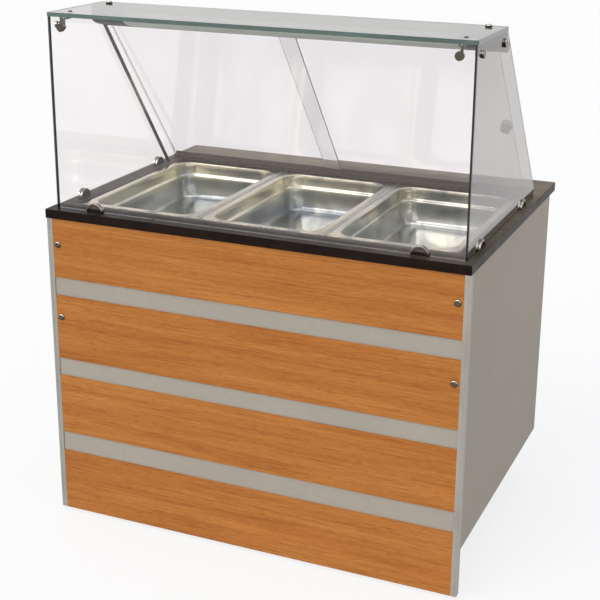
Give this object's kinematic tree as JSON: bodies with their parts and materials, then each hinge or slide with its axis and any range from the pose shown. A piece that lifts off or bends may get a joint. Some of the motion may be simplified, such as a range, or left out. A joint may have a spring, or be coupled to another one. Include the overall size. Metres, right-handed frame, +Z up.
{
  "type": "steam table unit",
  "caption": "Heated food serving counter: wood-fronted grey cabinet, dark worktop with a pan well, glass guard with light, sliding rear doors, castors.",
  "frame": {"origin": "on the floor under the middle of the worktop", "axes": "+Z up; -Y is the customer side with the wood planks; +Y is the operator side with the sliding doors and controls; +X is to the right seen from the customer side"},
  "size_m": [1.114, 0.815, 1.343],
  "materials": {
    "dark_worktop": "polished",
    "grey_laminate": "satin laminate",
    "wood_laminate": "satin",
    "aluminium": "satin",
    "stainless": "brushed",
    "chrome": "polished",
    "clear_glass": "polished",
    "rail_plastic": "matt",
    "black_plastic": "matt",
    "amber_lens": "gloss",
    "beige_plastic": "gloss",
    "lamp_metal": "satin",
    "diffuser": "frosted",
    "lamp_glass": "frosted",
    "zinc": "zinc plated",
    "brass": "satin",
    "tread": "matt"
  },
  "bodies": {
    "cabinet": {"worktop": "dark_worktop", "front_board": "grey_laminate", "base_board": "grey_laminate", "front_plank_1": "wood_laminate", "front_plank_2": "wood_laminate", "front_plank_3": "wood_laminate", "front_plank_4": "wood_laminate", "edge_trims": "aluminium", "plank_screws": "chrome", "side_panel_left": "grey_laminate", "side_panel_right": "grey_laminate", "rear_fascia": "grey_laminate", "thermostat_body": "black_plastic", "switch_bezels": "black_plastic", "pilot_lamp": "amber_lens", "cable_gland": "black_plastic", "well": "stainless", "heating_element": "stainless", "drain_pipe": "stainless", "drain_valve": "brass", "divider_bars": "stainless", "glass_front": "clear_glass", "glass_top": "clear_glass", "glass_left": "clear_glass", "glass_right": "clear_glass", "corner_connector_left": "chrome", "corner_connector_right": "chrome", "glass_clamps": "chrome", "door_rail_bottom": "rail_plastic", "door_rail_top": "rail_plastic", "lamp_housing": "lamp_metal", "lamp_diffuser": "diffuser", "lamp_end_left": "lamp_metal", "lamp_end_right": "lamp_metal", "lamp_tube": "lamp_glass", "lamp_sockets": "black_plastic", "shelf_studs": "chrome", "side_discs": "chrome", "lamp_conduit": "stainless", "castor_plates": "zinc"},
    "pan_left": {"pan_left": "stainless"},
    "pan_middle": {"pan_middle": "stainless"},
    "pan_right": {"pan_right": "stainless"},
    "door_left": {"door_left": "clear_glass"},
    "door_right": {"door_right": "clear_glass", "door_knob": "beige_plastic"},
    "thermostat_knob": {"thermostat_knob": "black_plastic"},
    "heat_switch": {"heat_switch_rocker": "black_plastic"},
    "light_switch": {"light_switch_rocker": "black_plastic"},
    "drain_lever": {"drain_lever": "rail_plastic"},
    "castor_front_left": {"castor_fork_front_left": "zinc"},
    "wheel_front_left": {"castor_wheel_front_left": "tread"},
    "castor_front_right": {"castor_fork_front_right": "zinc"},
    "wheel_front_right": {"castor_wheel_front_right": "tread"},
    "castor_rear_left": {"castor_fork_rear_left": "zinc"},
    "wheel_rear_left": {"castor_wheel_rear_left": "tread"},
    "castor_rear_right": {"castor_fork_rear_right": "zinc"},
    "wheel_rear_right": {"castor_wheel_rear_right": "tread"}
  },
  "joints": [
    {"name": "pan_left_lift", "type": "slide", "parent": "cabinet", "child": "pan_left", "axis": [0, 0, 1], "range_m": [0, 0.016]},
    {"name": "pan_middle_lift", "type": "slide", "parent": "cabinet", "child": "pan_middle", "axis": [0, 0, 1], "range_m": [0, 0.016]},
    {"name": "pan_right_lift", "type": "slide", "parent": "cabinet", "child": "pan_right", "axis": [0, 0, 1], "range_m": [0, 0.016]},
    {"name": "door_left_slide", "type": "slide", "parent": "cabinet", "child": "door_left", "axis": [1, 0, 0], "range_m": [0, 0.53]},
    {"name": "door_right_slide", "type": "slide", "parent": "cabinet", "child": "door_right", "axis": [1, 0, 0], "range_m": [-0.478, 0.022]},
    {"name": "thermostat_turn", "type": "hinge", "parent": "cabinet", "child": "thermostat_knob", "pos_m": [0.38, 0.3465, 0.745], "axis": [0, -1, 0], "range_deg": [0, 270]},
    {"name": "heat_switch_rock", "type": "hinge", "parent": "cabinet", "child": "heat_switch", "pos_m": [0.23, 0.3415, 0.745], "axis": [1, 0, 0], "range_deg": [0, 16]},
    {"name": "light_switch_rock", "type": "hinge", "parent": "cabinet", "child": "light_switch", "pos_m": [0.17, 0.3415, 0.745], "axis": [1, 0, 0], "range_deg": [0, 16]},
    {"name": "drain_lever_turn", "type": "hinge", "parent": "cabinet", "child": "drain_lever", "pos_m": [-0.38, 0.1395, 0.571], "axis": [0, -1, 0], "range_deg": [0, 90]},
    {"name": "castor_front_left_swivel", "type": "hinge", "parent": "cabinet", "child": "castor_front_left", "pos_m": [-0.42, -0.29, 0.12], "axis": [0, 0, 1], "continuous": true},
    {"name": "wheel_front_left_spin", "type": "hinge", "parent": "castor_front_left", "child": "wheel_front_left", "pos_m": [-0.42, -0.258, 0.05], "axis": [1, 0, 0], "continuous": true},
    {"name": "castor_front_right_swivel", "type": "hinge", "parent": "cabinet", "child": "castor_front_right", "pos_m": [0.42, -0.29, 0.12], "axis": [0, 0, 1], "continuous": true},
    {"name": "wheel_front_right_spin", "type": "hinge", "parent": "castor_front_right", "child": "wheel_front_right", "pos_m": [0.42, -0.258, 0.05], "axis": [1, 0, 0], "continuous": true},
    {"name": "castor_rear_left_swivel", "type": "hinge", "parent": "cabinet", "child": "castor_rear_left", "pos_m": [-0.42, 0.255, 0.12], "axis": [0, 0, 1], "continuous": true},
    {"name": "wheel_rear_left_spin", "type": "hinge", "parent": "castor_rear_left", "child": "wheel_rear_left", "pos_m": [-0.42, 0.287, 0.05], "axis": [1, 0, 0], "continuous": true},
    {"name": "castor_rear_right_swivel", "type": "hinge", "parent": "cabinet", "child": "castor_rear_right", "pos_m": [0.42, 0.255, 0.12], "axis": [0, 0, 1], "continuous": true},
    {"name": "wheel_rear_right_spin", "type": "hinge", "parent": "castor_rear_right", "child": "wheel_rear_right", "pos_m": [0.42, 0.287, 0.05], "axis": [1, 0, 0], "continuous": true}
  ]
}
